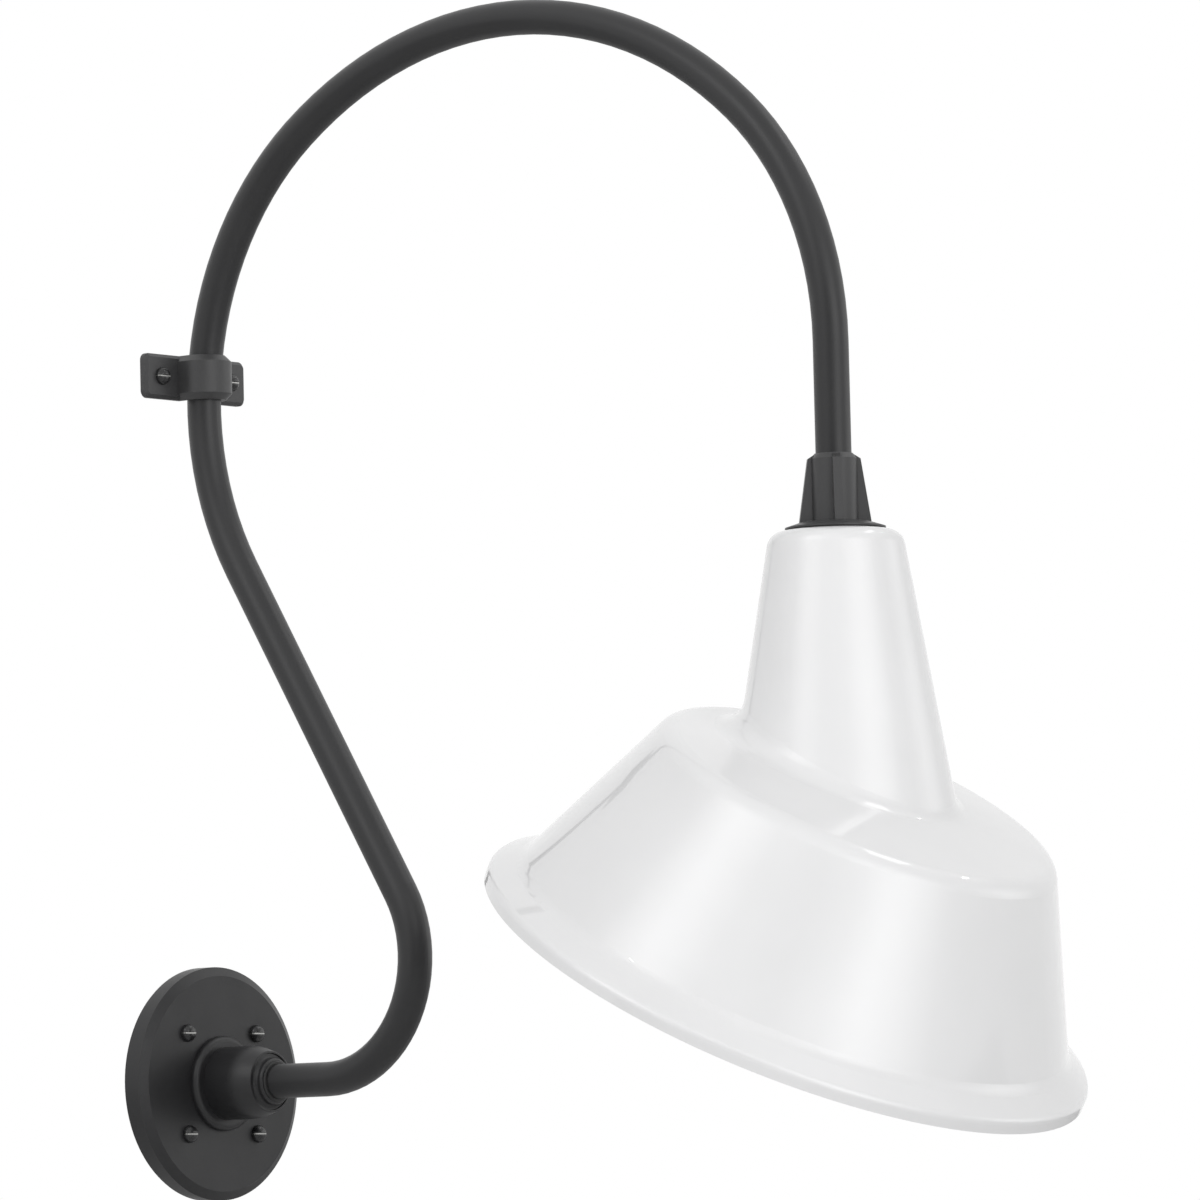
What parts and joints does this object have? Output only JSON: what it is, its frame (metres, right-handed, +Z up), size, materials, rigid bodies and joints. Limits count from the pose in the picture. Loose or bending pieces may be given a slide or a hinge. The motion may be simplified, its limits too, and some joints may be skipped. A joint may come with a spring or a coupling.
{
  "type": "barn light",
  "caption": "Gooseneck wall light: bent pipe arm on a round canopy, saddle clamp on the wall, and a white angle shade that swivels on a finned hub over a screw-in lamp.",
  "frame": {"origin": "centre of the round canopy, on the wall plane", "axes": "+Z up, +Y into the wall, +X to the right of a person who faces the wall; the light stands out to -Y"},
  "size_m": [0.3781, 0.6633, 0.7266],
  "materials": {
    "canopy_black": "fine satin powder coat",
    "arm_black": "fine satin powder coat",
    "hub_black": "satin powder coat on a casting",
    "screw_black": "black oxide, slightly glossy",
    "seal_rubber": "smooth black rubber",
    "foam": "closed-cell foam",
    "shade_white": "gloss vitreous enamel",
    "zinc_steel": "zinc plate",
    "porcelain": "glazed porcelain",
    "brass": "plain brass",
    "nickel": "nickel plated brass",
    "frosted_glass": "inside frosted",
    "clear_glass": "clear",
    "dark_glass": "opaque black glass",
    "solder": "dull solder",
    "tungsten": "drawn wire",
    "black_sleeve": "smooth insulation",
    "white_sleeve": "smooth insulation",
    "green_sleeve": "smooth insulation",
    "nylon": "moulded nylon",
    "connector_grey": "moulded"
  },
  "bodies": {
    "wall_arm": {"wall_gasket": "foam", "canopy": "canopy_black", "canopy_screws": "screw_black", "hub_collar": "hub_black", "collar_seal": "seal_rubber", "arm_locknut": "zinc_steel", "ground_screw": "zinc_steel", "ground_terminal": "brass", "ground_lead": "green_sleeve", "wire_connectors": "connector_grey", "lead_bushing": "nylon", "black_lead": "black_sleeve", "white_lead": "white_sleeve", "arm": "arm_black", "wall_clamp": "hub_black", "clamp_screws": "screw_black"},
    "shade_head": {"shade_hub": "hub_black", "swivel_screw": "screw_black", "hub_pad": "seal_rubber", "shade": "shade_white", "shade_washer": "zinc_steel", "shade_nut": "zinc_steel", "socket_strap": "zinc_steel", "strap_screws": "zinc_steel", "socket_body": "porcelain", "socket_shell": "nickel", "socket_contact": "brass", "black_terminal_screw": "brass", "white_terminal_screw": "nickel", "black_socket_lead": "black_sleeve", "white_socket_lead": "white_sleeve"},
    "lamp": {"lamp_globe": "frosted_glass", "lamp_base": "nickel", "lamp_insulator": "dark_glass", "lamp_contact": "solder", "lamp_stem": "clear_glass", "lamp_filament": "tungsten"}
  },
  "joints": [
    {"name": "shade_swivel", "type": "hinge", "parent": "wall_arm", "child": "shade_head", "pos_m": [0, -0.51528, 0.338], "axis": [0, 0, 1], "range_deg": [-170, 170]},
    {"name": "lamp_travel", "type": "slide", "parent": "shade_head", "child": "lamp", "axis": [0, 0, -1], "range_m": [0, 0.03]}
  ]
}
